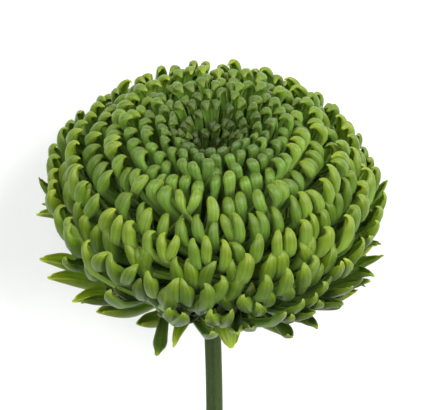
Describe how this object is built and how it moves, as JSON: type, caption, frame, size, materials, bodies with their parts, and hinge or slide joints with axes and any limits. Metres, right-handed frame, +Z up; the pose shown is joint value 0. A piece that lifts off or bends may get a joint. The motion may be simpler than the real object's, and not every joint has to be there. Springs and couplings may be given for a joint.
{
  "type": "cut pompon chrysanthemum",
  "caption": "Cut pompon chrysanthemum lying down: a flattened ball of incurved green florets round a deep central hollow, with loose florets and bracts under it and a short stem.",
  "frame": {"origin": "middle of the flower's footprint, on the surface that it lies on", "axes": "+Z up; the face of the head looks along -Y and a little up, and the cut end of the stem lies at +Y"},
  "size_m": [0.1098, 0.1858, 0.1068],
  "materials": {
    "floret": "fresh petal, satin, ribbed along its length",
    "bract": "green bract, matte, thin pale margin",
    "stem": "fresh stem, matte, finely ribbed and downy"
  },
  "bodies": {
    "root": {"bract_01": "bract", "bract_02": "bract", "bract_03": "bract", "bract_04": "bract", "bract_05": "bract", "bract_06": "bract", "bract_07": "bract", "bract_08": "bract", "bract_09": "bract", "bract_10": "bract", "bract_11": "bract", "bract_12": "bract", "bract_13": "bract", "floret_whorl_01": "floret", "floret_whorl_02": "floret", "floret_whorl_03": "floret", "floret_whorl_04": "floret", "floret_whorl_05": "floret", "floret_whorl_06": "floret", "floret_whorl_07": "floret", "floret_whorl_08": "floret", "floret_whorl_09": "floret", "floret_whorl_10": "floret", "floret_whorl_11": "floret", "floret_whorl_12": "floret", "heart_florets": "floret", "loose_floret_01": "floret", "loose_floret_02": "floret", "loose_floret_03": "floret", "loose_floret_04": "floret", "loose_floret_05": "floret", "loose_floret_06": "floret", "loose_floret_07": "floret", "loose_floret_08": "floret", "loose_floret_09": "floret", "loose_floret_10": "floret", "loose_floret_11": "floret", "loose_floret_12": "floret", "loose_floret_13": "floret", "loose_floret_14": "floret", "loose_floret_15": "floret", "loose_floret_16": "floret", "loose_floret_17": "floret", "loose_floret_18": "floret", "loose_floret_19": "floret", "loose_floret_20": "floret", "loose_floret_21": "floret", "stem_with_receptacle": "stem"}
  },
  "joints": []
}
